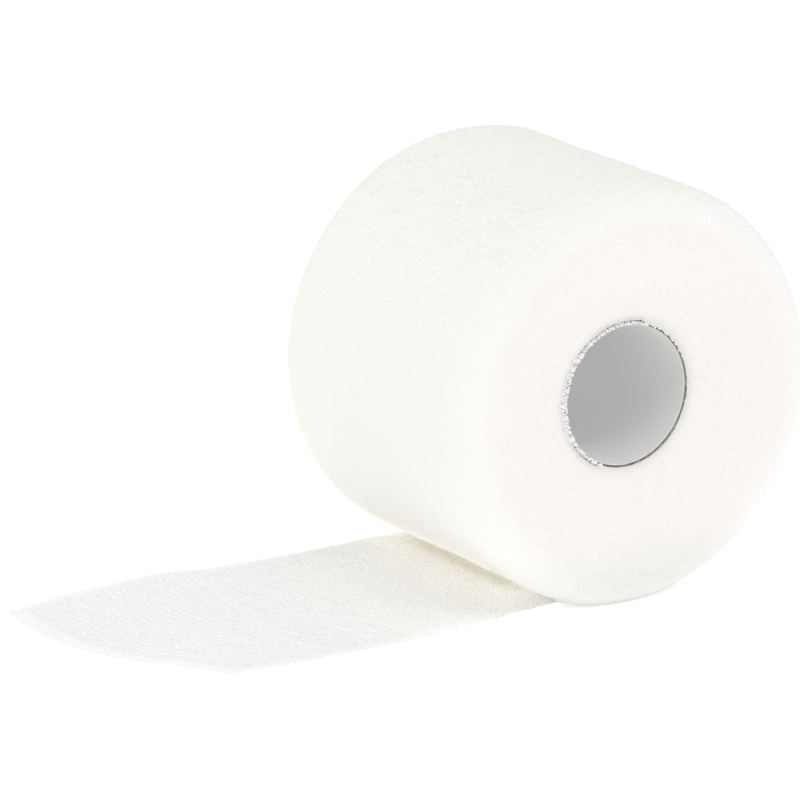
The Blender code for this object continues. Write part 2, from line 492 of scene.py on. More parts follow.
# lengths of the section's rows, closer on the end faces than on the shoulders
def sectionRows():
    face = np.linspace(0.0, faceLength, roll["faceRows"] + 1)
    shoulder = faceLength + np.linspace(0.0, shoulderLength, roll["shoulderRows"] + 1)[1:]
    near = np.concatenate([face, shoulder])
    barrel = near[-1] + np.linspace(0.0, barrelLength, roll["barrelRows"])[1:-1]
    return np.concatenate([near, barrel, (sectionLength - near)[::-1]]), len(near) - 1


# the wound gauze, one surface over length and angle: each point moves out along its normal by the
# height of its yarns there; cut into near face, barrel and far face, each closed inside the roll
def makeWoundGauze(finish):
    columns = roll["columns"]
    lengths, seam = sectionRows()
    angles = roll["takeOff"] + roll["step"] + np.linspace(0.0, turn - roll["step"], columns)
    # one more column than the mesh has, for the corners that close it
    angles = np.append(angles, angles[0] + turn)
    length, angle = np.meshgrid(lengths, angles, indexing="ij")
    inward = np.minimum(length, sectionLength - length)
    onBarrel = smoothRise((inward - faceLength * roll["weaveStart"]) / (roll["weaveRise"] * shoulderLength))
    onFace = 1.0 - onBarrel

    # the whole grid wanders a little, so that the yarns it carries do, and is never quite even
    ideal = woundPoint(length, angle)
    free = smoothRise(inward / roll["calm"])
    wefts = np.broadcast_to(np.arange(columns + 1) / roll["weftColumns"], length.shape)
    warps = (length - lengths[seam]) / roll["warpPitch"]
    length = length + roll["drift"] * free * softNoise(ideal, roll["driftWave"], seed=3)
    angle = angle + roll["drift"] / roll["radius"] * softNoise(ideal, roll["driftWave"], seed=4)
    points = woundPoint(length, angle)

    radius = section(length)[0]
    loops, spiral = faceHeight(radius, angle)
    # grain is long along the wefts on the barrel, and round on the faces
    grain = softNoise(ideal * np.array(roll["grainStretch"]), roll["grainWave"], seed=5, count=30)
    fine = softNoise(ideal, roll["fineWave"], seed=6, count=40)
    patch = softNoise(ideal * np.array(roll["patchStretch"]), roll["patchWave"], seed=8, count=30)
    top = smoothRise((ideal[..., 2] - roll["axisHeight"]) / roll["radius"])
    mean, spread = roll["patches"]
    low, added = roll["patchTop"]
    patch = smoothRise(mean + spread * patch) * (low + added * top)
    pits = over(fine, roll["pits"]) * onFace
    weave = weaveHeight(wefts, warps) * patch * (1.0 - roll["weaveGrain"] * (1.0 - grain))
    weave = weave + roll["addedFine"] * fine + roll["addedGrain"] * grain
    height = onBarrel * weave + onFace * loops * (1.0 - roll["loopGrain"] * (1.0 - grain))
    depth = roll["weftRelief"] * onBarrel + roll["faceRelief"] * onFace
    rise = (height - roll["meanHeight"]) * depth
    rise = rise + roll["sway"] * free * softNoise(ideal, roll["swayWave"], seed=7)
    rise = rise - pits * roll["pitRelief"]
    rise = rise + onFace * roll["faceGrain"] * (roll["grainShare"] * grain + fine)
    lace = over(inward, roll["lace"]) * laceShare(angle)
    holes = over(softNoise(ideal, roll["holeWave"], seed=9, count=40), roll["holes"]) * lace
    rise = rise - holes * roll["laceDepth"]
    points = points + gridNormals(points) * rise[..., None]
    points[..., 2] = np.maximum(points[..., 2], 0.0)
    normals = gridNormals(points)
    # painted shade: this height gives the weave's gaps and the pits and holes their darker tone
    woven = 1.0 - patch * (1.0 - weaveHeight(wefts, warps))
    sunk = roll["pitShade"] * pits + roll["holeShade"] * holes
    gapShadeHeight = np.clip(woven * onBarrel + (loops - sunk) * onFace, 0.0, 1.0)

    # painted shade beside the bore, painted glow on the barrel's underside, painted shade low on the near
    # shoulder
    beyond = np.maximum(radius - roll["boreRadius"], 0.0)
    bore = onFace * sum(share * np.exp(-beyond / reach) for share, reach in roll["boreShade"])
    high, fade = roll["under"]
    under = np.clip(np.exp((high - ideal[..., 2]) / fade), 0.0, 1.0) * onBarrel**2
    under = under * over(ideal[..., 1], roll["underAlong"])
    low = over(ideal[..., 2], roll["low"]) * (1.0 - over(ideal[..., 1], roll["lowAlong"]))
    shades = {"gapShadeHeight": gapShadeHeight, "onBarrel": onBarrel, "top": top, "bore": bore, "under": under, "low": low}

    last = len(lengths) - 1
    pieces = [("nearFace", 0, seam), ("barrel", seam, last - seam), ("farFace", last - seam, last)]
    outwards = np.stack([np.sin(angles), 0.0 * angles, np.cos(angles)], axis=-1)
    for name, start, end in pieces:
        # the piece is closed inside the roll by a wall down to the bore at each cut
        rows = [points[start:end + 1]]
        rowNormals = [normals[start:end + 1]]
        for cut in (end, start):
            if 0 < cut < last:
                wall = woundPoint(0.0 * angles, angles)
                wall[:, 1] = section(lengths[cut])[1]
                rows.append(wall[None])
                rowNormals.append(outwards[None])
        rows = np.concatenate(rows)
        rowNormals = np.concatenate(rowNormals)
        quads, i, j = gridFaces(len(rows), columns, True, True)
        own = np.minimum(i, end - start) + start
        maps = {
            "weave": np.stack([wefts[own, j], warps[own, j]], axis=-1),
            "turns": np.stack([wefts[own, j], spiral[own, j]], axis=-1),
        }
        index = np.minimum(np.arange(len(rows)), end - start) + start
        numbers = {key: values[index, :columns] for key, values in shades.items()}
        vertices = rows[:, :columns].reshape(-1, 3)
        piece = newMesh(name, vertices, [quads], maps, numbers, rowNormals[:, :columns])
        dress(piece, finish, "gauze", "roll")


# the card core
core = {
    "inner": 12.3 * mm,
    "outer": 13.0 * mm,
    "halfLength": 24.9 * mm,
    "columns": 240,
    # a rim seen from the bore outwards: radius, depth behind the end, share of bare board
    "rim": [
        (12.30, 0.55, 0.0), (12.30, 0.12, 0.0), (12.33, 0.04, 0.0), (12.38, 0.00, 0.0),
        (12.44, 0.00, 0.0), (12.47, 0.03, 0.6), (12.51, 0.05, 1.0), (12.60, 0.02, 1.0),
        (12.76, 0.00, 1.0), (12.90, 0.02, 1.0), (12.97, 0.06, 1.0), (13.00, 0.15, 1.0),
    ],
    "innerRows": 24,
    "outerRows": 6,
    "liner": (0.625, 0.625, 0.621, 1.0),
    "linerCloud": (0.640, 0.640, 0.640, 1.0),
    # painted glow of the pale liner inside the bore
    "paintedGlow": (0.104, 0.104, 0.104, 1.0),
    "board": (0.16, 0.13, 0.085, 1.0),
    "boardPale": (0.36, 0.31, 0.23, 1.0),
    "cloudScale": 90.0,
    "cloudEdges": (0.3, 0.7),
    "speckScale": 900.0,
    "speckDetail": (3.0, 0.6),
    "speckEdges": (0.35, 0.7),
    "speckBump": 0.4,
    "plyStretch": (1.0, 6.0, 1.0),
    "plyScale": 1800.0,
    "bump": 0.04 * mm,
    "bumpStrength": 0.6,
    "veiled": 0.55,  # share of the board that fluff of the yarn loops hides
    "roughness": 0.75,
}


# a paper tube: pale liner inside with a painted glow, its cut rims of bare brown board
def cardFinish():
    finish = Finish("cardTube", Roughness=core["roughness"], Emission_Strength=1.0)
    board = finish.number("board")
    speck = finish.noise(finish.place(), core["speckScale"], *core["speckDetail"])
    cloud = finish.noise(finish.place(), core["cloudScale"])
    liner = finish.tones(cloud, core["cloudEdges"], core["liner"], core["linerCloud"])
    brown = finish.tones(speck, core["speckEdges"], core["board"], core["boardPale"])
    ply = finish.noise(finish.place(core["plyStretch"]), core["plyScale"], *fineNoise)
    return finish.set(
        Base_Color=finish.blend(board, liner, brown),
        Emission_Color=finish.blend(board, core["paintedGlow"], black),
        Normal=finish.bump(speck * core["speckBump"] + ply * board, core["bump"], core["bumpStrength"]),
    )


# the tube's section, closed: inner wall, far rim, outer wall and near rim, turned round the axis
def makeCore(finish):
    rim = np.array(core["rim"])
    end = core["halfLength"] - rim[:, 1] * mm
    inner = np.linspace(-1.0, 1.0, core["innerRows"])[1:-1] * end[0]
    outer = np.linspace(1.0, -1.0, core["outerRows"])[1:-1] * end[-1]
    walls = [np.full(len(inner), core["inner"]), np.full(len(outer), core["outer"])]
    radius = np.concatenate([walls[0], rim[:, 0] * mm, walls[1], rim[::-1, 0] * mm])
    along = np.concatenate([inner, end, outer, -end[::-1]])
    board = np.concatenate([0.0 * inner, rim[:, 2], np.ones(len(outer)), rim[::-1, 2]])
    angles = turn * np.arange(core["columns"]) / core["columns"]
    points = roundAxis(radius[:, None], angles, along[:, None])
    quads, i, j = gridFaces(len(radius), core["columns"], True, True)
    maps = {"tube": np.stack([j / core["columns"], i / len(radius)], axis=-1)[:, ::-1]}
    numbers = {"board": (board[:, None] * (1.0 - core["veiled"] * laceShare(angles))).ravel()}
    piece = newMesh("cardCore", points.reshape(-1, 3), [quads[:, ::-1]], maps, numbers)
    dress(piece, finish, "card", "core")


# the loose end as part.py draws it, and its yarns
tail = {
    "reach": 95.3 * mm,
    "cutBow": 17.0 * mm,
    "cutBowShare": 0.75,
    "cutBowPower": 1.65,
    "curlWidth": 0.15,
    "gap": 0.3 * mm,  # between the roll's side and the solid sheet
    # along, near edge, far edge, and the lifts of middle, near edge and far edge, in mm
    "stations": [
        (0.00, -23.0, 25.2, 0.42, 0.42, 0.42),
        (0.10, -23.9, 25.6, 0.20, 0.50, 0.25),
        (0.25, -25.0, 25.4, 0.00, 0.45, 0.20),
        (0.45, -25.8, 25.4, 0.00, 0.23, 0.45),
        (0.62, -25.7, 26.1, 0.00, 0.22, 1.25),
        (0.80, -25.3, 25.6, 0.00, 0.20, 1.05),
        (1.00, -24.5, 24.3, 0.00, 0.20, 0.30),
    ],
    # how much further out the cut end lies than its curve, by share of the width, in mm
    "cutShape": [(0.0, 0.8), (0.1, 0.0), (0.19, -0.4), (0.3, 0.9), (0.45, 1.1), (0.62, 0.8), (0.72, 0.0)],
    "middle": 0.45 * mm,  # height of the ground's middle where the sheet lies flat
    "tucked": -0.030,  # it starts this share of its length further in, under the roll
    "groundRows": 112,  # the ground: a thin closed sheet of fibres
    "groundColumns": 60,
    "groundThick": 0.16 * mm,
    "groundRough": 0.012 * mm,
    "groundWave": 1.6 * mm,
    "rimCell": 0.12 * mm,  # its cells along its edges
    "wefts": 53,  # evenly spaced, up to a smooth band along the cut end
    "bandWefts": 3,
    "bandStart": 0.966,
    "bandAhead": 0.01,  # the smooth band sets in this much earlier
    "bandSlope": 80.0,  # and over 1 / this of the length
    "warps": 37,  # evenly spaced, with a closer selvedge at either edge
    "edgeWarps": 2,
    "edgeWidth": 0.030,
    "edgeInset": 0.3,  # share of that width that is all smooth
    "weftRange": (0.003, 0.995),  # first and last weft, by share of the length
    "warpRange": (0.006, 0.994),  # first and last warp, by share of the width
    "turnRange": (0.008, 0.992),  # where the wefts turn back
    "weftSteps": 132,
    "warpSteps": 4,  # for each weft
    "bendSteps": 4,
    "bendReach": 0.002,
    "corners": 4,
    # the axis they stray along, the yarns' half sizes, height of their middles over the ground's and
    # what is added to it beside the roll, rise and swing sideways where they cross, their own stray
    "weft": {
        "axis": 0, "seed": 31,
        "wide": 0.19 * mm, "thick": 0.08 * mm, "ride": 0.074 * mm, "rideNear": 0.025 * mm,
        "crossing": 0.012 * mm, "zigzag": 0.20 * mm, "stray": 0.08 * mm, "strayWave": 5.0 * mm,
    },
    "warp": {
        "axis": 1, "seed": 34,
        "wide": 0.12 * mm, "thick": 0.07 * mm, "ride": -0.05 * mm, "rideNear": 0.09 * mm,
        "crossing": 0.03 * mm, "zigzag": 0.10 * mm, "stray": 0.08 * mm, "strayWave": 3.5 * mm,
    },
    "nearShare": 0.35,  # beside the roll is this share of the length
    "bandSunk": 0.14 * mm,  # how much lower they lie in the smooth bands
    "sink": 0.055 * mm,  # they rise and sink in the ground by this much
    "sinkTop": 0.3,  # but never rise by more than this share of it
    "sinkWave": 7.0 * mm,
    "weftUneven": 0.15,  # how much thicker and thinner a weft gets
    "weftUnevenWave": 2.0 * mm,
    "yarnApart": 7.0,  # yarns read the noise this many of its waves apart
    "drift": 0.30 * mm,
    "driftWave": 9.0 * mm,
    "crimp": 0.10 * mm,
    "crimpWave": 6.0 * mm,
    "crimpLong": 2.6,  # length of the long waves against the short ones
    "crimpSteep": 1.2,
    "calm": 5.0 * mm,  # the drift dies down this near to an edge
    "calmLeft": 0.15,  # to this share of it
    "creaseShadow": (-14.6 * mm, 1.6 * mm),  # painted shadow: the darkest line beside the roll, and half its width
    # the painted shadow fades out towards both edges of the sheet over these stretches
    "creaseShadowEnds": [(-17.5 * mm, 10.0 * mm), (25.0 * mm, -10.0 * mm)],
    "rollShadeAndBounce": (-50.0 * mm, 36.0 * mm),  # painted shade and warm bounce light beside the roll set in along this stretch
    "glow": (-50.0 * mm, 22.0 * mm),  # painted glow, for floor light that soaks through, sets in from here, and is less close to the roll
    "close": (-28.0 * mm, 12.0 * mm),
    "glowShare": 0.72,
    "glowLess": 0.58,  # share of it that is lost there
    "farCorner": (26.0 * mm, -14.0 * mm),  # less painted glow beside the far edge, and more beside the near one
    "farCornerShare": 0.4,
    "nearCorner": (-4.0 * mm, -13.0 * mm),
    "nearCornerShare": 0.55,
    # the painted glow turns to its stronger far tone along this stretch
    "outward": (-50.0 * mm, -35.0 * mm),
    "areaSteps": 201,  # places across the width at which the sheet is measured
}


# one column of the stations at these places, eased from each row to the next by smoothRise
def stationValue(column, along):
    table = np.array(tail["stations"])
    along = np.clip(along, 0.0, 1.0)
    row = np.clip(np.searchsorted(table[:, 0], along, side="left") - 1, 0, len(table) - 2)
    share = smoothRise((along - table[row, 0]) / (table[row + 1, 0] - table[row, 0]))
    return (table[row, column] + (table[row + 1, column] - table[row, column]) * share) * mm


# X of the cut end: bow * (1 - across / share)^power - reach, less what its own shape adds
def cutEnd(across):
    back = np.maximum(1.0 - across / tail["cutBowShare"], 0.0) ** tail["cutBowPower"]
    shape = np.array(tail["cutShape"])
    return tail["cutBow"] * back - tail["reach"] - np.interp(across, shape[:, 0], shape[:, 1]) * mm


# the sheet's middle: straight from root to cut end, and from near edge to far edge, with lifts
def sheetPoint(along, across):
    root = -(roll["radius"] * math.sin(roll["takeOff"]) + tail["gap"])
    near = stationValue(1, along)
    far = stationValue(2, along)
    lift = stationValue(3, along)
    nearShare = smoothRise(1.0 - across / tail["curlWidth"])
    farShare = smoothRise(1.0 - (1.0 - across) / tail["curlWidth"])
    lift = lift + (stationValue(4, along) - lift) * nearShare
    lift = lift + (stationValue(5, along) - lift) * farShare
    x = root + (cutEnd(across) - root) * along
    return np.stack([x, near + (far - near) * across, tail["middle"] + lift], axis=-1)


# places 0 to 1 of yarns: evenly spaced in the middle, and closer in a band at one or both ends
def yarnPlaces(count, bandCount, low, high):
    first = np.linspace(0.0, low, bandCount + 1)[:-1] if low > 0.0 else np.zeros(0)
    last = np.linspace(high, 1.0, bandCount + 1)[1:]
    return np.concatenate([first, np.linspace(low, high, count), last])


# shifts that whole areas of the sheet share, sideways and upwards, and less near its edges
def sheetSway(points, along, across):
    flat = points * np.array([1.0, 1.0, 0.0])
    margin = np.minimum(across, 1.0 - across) * 2.0 * stationValue(2, along)
    margin = np.minimum(margin, (1.0 - along) * tail["reach"])
    calm = (tail["calmLeft"] + (1.0 - tail["calmLeft"]) * smoothRise(margin / tail["calm"]))[..., None]
    sideways = [softNoise(flat, tail["driftWave"], seed) * tail["drift"] for seed in (21, 22)]
    up = 1.0
    for longer, seed in ((1.0, 23), (tail["crimpLong"], 24)):
        waves = softNoise(flat, longer * tail["crimpWave"], seed)
        up = up + 0.5 * np.sin(waves * tail["crimpSteep"])
    return np.stack([sideways[0], sideways[1], up * tail["crimp"]], axis=-1) * calm


# one yarn's own unevenness, from noise that differs from yarn to yarn
def yarnNoise(points, number, wavelength, seed):
    own = points * np.array([1.0, 1.0, 0.0])
    own[..., 2] = number * tail["yarnApart"] * wavelength
    return softNoise(own, wavelength, seed)


# share of open weave: 0 in the smooth bands along the cut end and along both edges, else 1
def innerShare(along, across):
    inner = 1.0 - smoothRise((along - tail["bandStart"] + tail["bandAhead"]) * tail["bandSlope"])
    beside = np.minimum(across, 1.0 - across) - tail["edgeInset"] * tail["edgeWidth"]
    return inner * smoothRise(beside / tail["edgeWidth"])


# how a yarn goes up and down, cos(pi n), and sideways, sin(pi n), at its n-th crossing, with every
# other yarn the other way
def crossings(sign, phase):
    return sign * np.cos(math.pi * phase), sign * np.sin(math.pi * phase)


# yarns of one kind, carried by the sheet at these shares of it: they zigzag and stray along one
# axis, and ride highest beside the roll, low elsewhere, and even and lowest in the smooth bands
def layYarns(kind, along, across, number, rise, sideways):
    yarns = sheetPoint(along, across)
    yarns = yarns + sheetSway(yarns, along, across)
    inner = innerShare(along, across)
    own = yarnNoise(yarns, number, kind["strayWave"], kind["seed"])
    sunk = np.minimum(yarnNoise(yarns, number, tail["sinkWave"], kind["seed"] + 1), tail["sinkTop"])
    ride = kind["ride"] + kind["rideNear"] * (1.0 - smoothRise(along / tail["nearShare"]))
    yarns[..., kind["axis"]] += (sideways * kind["zigzag"] + own * kind["stray"]) * inner
    yarns[..., 2] += (ride + rise * kind["crossing"] + sunk * tail["sink"]) * inner
    yarns[..., 2] -= (1.0 - inner) * tail["bandSunk"]
    return yarns


# places 0 to 1 evenly spaced, with one more cell of its own size at either end
def rimPlaces(count, cell):
    return np.concatenate([[0.0], np.linspace(cell, 1.0 - cell, count), [1.0]])


# the ground: a grid of the sheet's points, half its thickness up and down, closed all round;
# gives vertices, faces and the number of wefts and warps at each corner
def groundSheet(weftPlaces, warpPlaces):
    along = rimPlaces(tail["groundRows"], tail["rimCell"] / tail["reach"])
    along = tail["tucked"] + (1.0 - tail["tucked"]) * along
    across = rimPlaces(tail["groundColumns"], tail["rimCell"] / (2.0 * stationValue(2, 0.5)))
    rows, columns = len(along), len(across)
    wefts = np.interp(along, weftPlaces, np.arange(len(weftPlaces)))
    warps = np.interp(across, warpPlaces, np.arange(len(warpPlaces)))
    along, across = np.meshgrid(along, across, indexing="ij")
    middle = sheetPoint(along, across)
    middle = middle + sheetSway(middle, along, across)
    middle[..., 2] += tail["groundRough"] * softNoise(middle, tail["groundWave"], seed=25, count=30)
    up = gridNormals(middle)
    up = up * np.sign(up[..., 2:])
    half = tail["groundThick"] / 2
    ring = np.concatenate([middle + up * half, (middle - up * half)[:, ::-1]], axis=1)
    band = 1.0 - innerShare(along, across)
    band = np.concatenate([band, band[:, ::-1]], axis=1).ravel()
    quads, i, j = gridFaces(rows, 2 * columns, False, True)
    own = np.minimum(j % (2 * columns), 2 * columns - 1 - j % (2 * columns))
    pairs = np.stack([wefts[i], warps[own]], axis=-1)
    side = np.arange(columns - 1)[:, None]
    cap = np.concatenate([side, side + 1, 2 * columns - 2 - side, 2 * columns - 1 - side], axis=1)
    caps = np.concatenate([cap[:, ::-1], cap + (rows - 1) * 2 * columns])
    pairs = np.concatenate([pairs.reshape(-1, 2), np.zeros((caps.size, 2))])
    return (ring.reshape(-1, 3), [quads, caps], pairs), band


# where the sheet takes which painted light or shade: each over its own stretch, the painted shade
# and warm bounce beside the roll, the painted glow less close to the roll and beside the far edge
# and more at the near corner, and the crease's painted shadow exp(-((x - middle) / half)^2)
def sheetShades(x, y):
    corner = 1.0 - tail["farCornerShare"] * (1.0 - over(y, tail["farCorner"]))
    close = over(x, tail["close"])
    glow = over(x, tail["glow"]) * (1.0 - tail["glowLess"] * close)
    glow = glow * corner * tail["glowShare"]
    glow = glow + over(y, tail["nearCorner"]) * close * tail["nearCornerShare"]
    middle, half = tail["creaseShadow"]
    near, far = [over(y, stretch) for stretch in tail["creaseShadowEnds"]]
    return {
        "rollShadeAndBounce": over(x, tail["rollShadeAndBounce"]) * corner,
        "glow": np.clip(glow, 0.0, 1.0),
        "outward": over(x, tail["outward"]),
        "creaseShadow": np.exp(-((x - middle) / half) ** 2) * np.minimum(near, far),
    }


# the loose end: one weft that runs to and fro and cut warps, tubes round paths that the sheet
# carries, in a ground of fibres
def makeLooseEnd(finish):
    edge = tail["edgeWidth"]
    weftPlaces = yarnPlaces(tail["wefts"], tail["bandWefts"], 0.0, tail["bandStart"])
    warpPlaces = yarnPlaces(tail["warps"], tail["edgeWarps"], edge, 1.0 - edge)
    weftPlaces = np.interp(weftPlaces, (0.0, 1.0), tail["weftRange"])
    warpPlaces = np.interp(warpPlaces, (0.0, 1.0), tail["warpRange"])
    weftCount, warpCount = len(weftPlaces), len(warpPlaces)

    # wefts: one yarn to and fro, with a small bend round the edge warp at the end of each pass
    steps, bends = tail["weftSteps"], tail["bendSteps"]
    number = np.arange(weftCount)[:, None]
    sign = np.where(number % 2 == 0, 1.0, -1.0)
    across = np.linspace(*tail["turnRange"], steps)
    across = np.where(number % 2 == 0, across, across[::-1])
    phase = np.interp(across, warpPlaces, np.arange(warpCount))
    along = np.broadcast_to(weftPlaces[:, None], across.shape)
    rise, sideways = crossings(sign, phase)
    swing = math.pi * np.arange(1, bends + 1) / (bends + 1)
    ahead = np.append(weftPlaces[1:], weftPlaces[-1])
    bendAlong = (weftPlaces + ahead)[:, None] / 2 - (ahead - weftPlaces)[:, None] / 2 * np.cos(swing)
    bendAcross = across[:, -1:] + sign * tail["bendReach"] * np.sin(swing)
    along = np.concatenate([along, bendAlong], axis=1)
    across = np.concatenate([across, bendAcross], axis=1)
    rise = np.concatenate([rise, rise[:, -1:] * np.cos(swing)], axis=1)
    sideways = np.concatenate([sideways, 0.0 * bendAcross], axis=1)
    number = np.broadcast_to(number, along.shape)
    along, across, rise, sideways, number = [
        each.reshape(1, -1)[:, :-bends] for each in (along, across, rise, sideways, number)
    ]
    weft = layYarns(tail["weft"], along, across, number, rise, sideways)
    uneven = 1.0 + tail["weftUneven"] * yarnNoise(weft, number, tail["weftUnevenWave"], seed=36)

    # warps: from under the roll to just past the last weft, where they are cut
    count = (weftCount - 1) * tail["warpSteps"] + 1
    phase = np.linspace(0.0, weftCount - 1.0, count)
    along = np.interp(phase, np.arange(weftCount), weftPlaces)
    across = np.broadcast_to(warpPlaces[:, None], (warpCount, count))
    along = np.broadcast_to(along, across.shape)
    number = np.broadcast_to(np.arange(warpCount)[:, None], along.shape)
    sign = np.where(number % 2 == 0, -1.0, 1.0)
    rise, sideways = crossings(sign, phase)
    warp = layYarns(tail["warp"], along, across, number, rise, sideways)

    up = np.array([0.0, 0.0, 1.0])
    sheet, sheetBand = groundSheet(weftPlaces, warpPlaces)
    made = [
        sheet,
        yarnTubes(weft, up, tail["weft"]["wide"] * uneven, tail["weft"]["thick"] * uneven, tail["corners"]),
        yarnTubes(warp, up, tail["warp"]["wide"], tail["warp"]["thick"], tail["corners"]),
    ]
    vertices, faces, pairs = joined(made)
    ground = np.zeros(len(vertices))
    ground[:len(sheetBand)] = 1.0
    band = np.zeros(len(vertices))
    band[:len(sheetBand)] = sheetBand
    numbers = {"ground": ground, "band": band}
    numbers.update(sheetShades(vertices[:, 0], vertices[:, 1]))
    piece = newMesh("looseEnd", vertices, faces, {"yarn": pairs}, numbers)
    dress(piece, finish, "gauze", "loose_end")

    # cut size: the sheet's width at its widest, and its length along the straight part of the cut
    share = np.linspace(0.0, 1.0, tail["areaSteps"])
    root = sheetPoint(np.array([0.0]), np.array([0.5]))[0, 0]
    width = np.max(stationValue(2, share) - stationValue(1, share))
    area = width * np.mean(root - cutEnd(share))


# tones and pattern of the loose end and the loops
tailLook = {
    "light": (0.965, 0.965, 0.960, 1.0),
    "dark": (0.935, 0.934, 0.926, 1.0),
    # the ground is darker than the yarns: partly its own tone, partly painted shade between the raised
    # yarns
    "ground": (0.826, 0.826, 0.826, 1.0),
    "groundDark": (0.780, 0.780, 0.778, 1.0),
    # painted shade and warm bounce light beside the roll: a darker, warmer tone
    "warmBounceShade": (0.832, 0.821, 0.788, 1.0),
    # painted shadow: the olive tone of the crease beside the roll
    "paintedShadowOlive": (0.700, 0.688, 0.580, 1.0),
    # painted shade: the dark tone of the tiny holes between the yarns
    "speck": (0.600, 0.600, 0.570, 1.0),
    "paintedGlow": (0.078, 0.078, 0.078, 1.0),  # painted glow, standing in for floor light that soaks through thin cotton
    # a stronger painted glow far out
    "paintedGlowFar": (0.115, 0.115, 0.118, 1.0),
    "band": (0.868, 0.868, 0.868, 1.0),
    # painted glow close to the roll
    "paintedGlowNear": (0.188, 0.191, 0.179, 1.0),
    # a dimmer painted glow in the painted shadow of the crease and in the holes
    "paintedGlowDim": (0.082, 0.086, 0.072, 1.0),
    "plyPitch": 0.9 * mm,  # one twist of a yarn
    "plyBump": 0.4,
    "fuzzScale": 1600.0,
    "fuzzDetail": (3.0, 0.65),
    "grainScale": 2600.0,
    "cloudScale": 120.0,
    "fuzzShare": 0.6,  # share of fuzz against clouds in the yarns' tone
    "yarnEdges": (0.35, 0.6),
    "groundEdges": (0.4, 0.6),
    "warmBounceShadeShare": (0.8, 0.1),  # how much of it the ground takes past the yarns, and they take
    "creaseShadowShare": (0.5, 0.5),
    "cellShare": 0.25,  # painted shade: dark points gather in the cells between the yarns
    "nearHoles": 0.04,  # and more so near the roll
    "holeEdges": (0.785, 0.845),
    "holeShare": (0.4, 0.6),
    "groundFuzz": 0.6,  # share of the fuzz's bump that the ground loses
    "bump": 0.04 * mm,
}


# twisted cotton yarn, with ply stripes that run round it as they run along it, and the ground of
# loose fibres it lies in, a little darker, partly as painted shade between the yarns; tiny holes
# between the yarns painted dark as painted shade, more near the roll; a darker, warmer painted
# shade and bounce light beside the roll, a painted shadow along the crease, and a painted glow
# that stands in for floor light soaking through the thin cotton
def yarnFinish():
    look = tailLook
    finish = Finish("gauzeYarn", **cotton)
    run, around = finish.pair("yarn")
    ground = finish.number("ground")
    near = finish.number("rollShadeAndBounce")
    creaseShadow = finish.number("creaseShadow")
    ply = ((run * (turn / look["plyPitch"])) + around * (2.0 * turn)).cos() * 0.5 + 0.5
    fuzz = finish.noise(finish.place(), look["fuzzScale"], *look["fuzzDetail"])
    grain = finish.noise(finish.place(), look["grainScale"], *fineNoise)
    cloud = finish.noise(finish.place(), look["cloudScale"], *softPatches)
    tone = fuzz * look["fuzzShare"] + cloud * (1.0 - look["fuzzShare"])
    yarn = finish.tones(tone, look["yarnEdges"], look["dark"], look["light"])
    # the ground's darker tone is partly painted shade between the raised yarns
    sheet = finish.tones(fuzz, look["groundEdges"], look["groundDark"], look["ground"])
    sheet = finish.blend(finish.number("band"), sheet, look["band"])
    colour = finish.blend(ground, yarn, sheet)
    # painted shade and warm bounce light beside the roll, and the painted shadow of the crease
    masks = {"warmBounceShade": (near, look["warmBounceShadeShare"]), "paintedShadowOlive": (creaseShadow, look["creaseShadowShare"])}
    for name, (mask, (added, plain)) in masks.items():
        colour = finish.blend(mask * (ground * added + plain), colour, look[name])
    # painted shade in tiny holes: dark points in the cells between the yarns, more near the roll
    cell = (run * turn).cos() * (around * turn).cos() * -0.5 + 0.5
    points = cell * look["cellShare"] + grain + near * look["nearHoles"]
    added, plain = look["holeShare"]
    holeShadeMask = finish.smoothStep(points, *look["holeEdges"]) * ground * (near * added + plain)
    colour = finish.blend(holeShadeMask, colour, look["speck"])
    # painted glow: stronger far out and beside the roll, dimmer in the painted shadow and holes
    paintedGlow = finish.blend(finish.number("outward"), look["paintedGlow"], look["paintedGlowFar"])
    paintedGlow = finish.blend(finish.number("glow"), paintedGlow, look["paintedGlowNear"])
    height = ply * (1.0 - ground) * look["plyBump"] + fuzz * (1.0 - ground * look["groundFuzz"])
    return finish.set(
        Base_Color=colour,
        Emission_Color=finish.blend(creaseShadow.top(holeShadeMask), paintedGlow, look["paintedGlowDim"]),
        Normal=finish.bump(height, look["bump"]),
    )


# yarn loops round the bore
rimLoops = {
    "steps": 9,
    "corners": 5,
    "wide": 0.10 * mm,
    "thick": 0.09 * mm,
    # rows of loops: how many, first and last angle from straight down towards -X, radius they
    # start from, radius they reach in to, and the shares of that reach that they take
    "rows": [
        (20, 22.0, 62.0, 13.20, 12.50, 0.60, 1.05),
        (32, 60.0, 130.0, 13.30, 12.45, 0.70, 1.05),
        (34, 128.0, 199.0, 13.15, 12.55, 0.50, 1.05),
        (28, 62.0, 128.0, 13.80, 13.05, 0.50, 1.00),
        (12, 200.0, 246.0, 13.05, 12.50, 0.50, 1.00),
    ],
    "foot": 0.20 * mm,  # how deep their feet sit in the face
    "scatter": 0.45,  # how far from its even place, in steps between them
    "width": (0.14 * mm, 0.36 * mm),
    "round": 0.7,  # power of a loop's reach: under 1 is fuller
    "twist": 0.25 * mm,
    "out": (0.06 * mm, 0.20 * mm),  # how far they stand out from the face
}


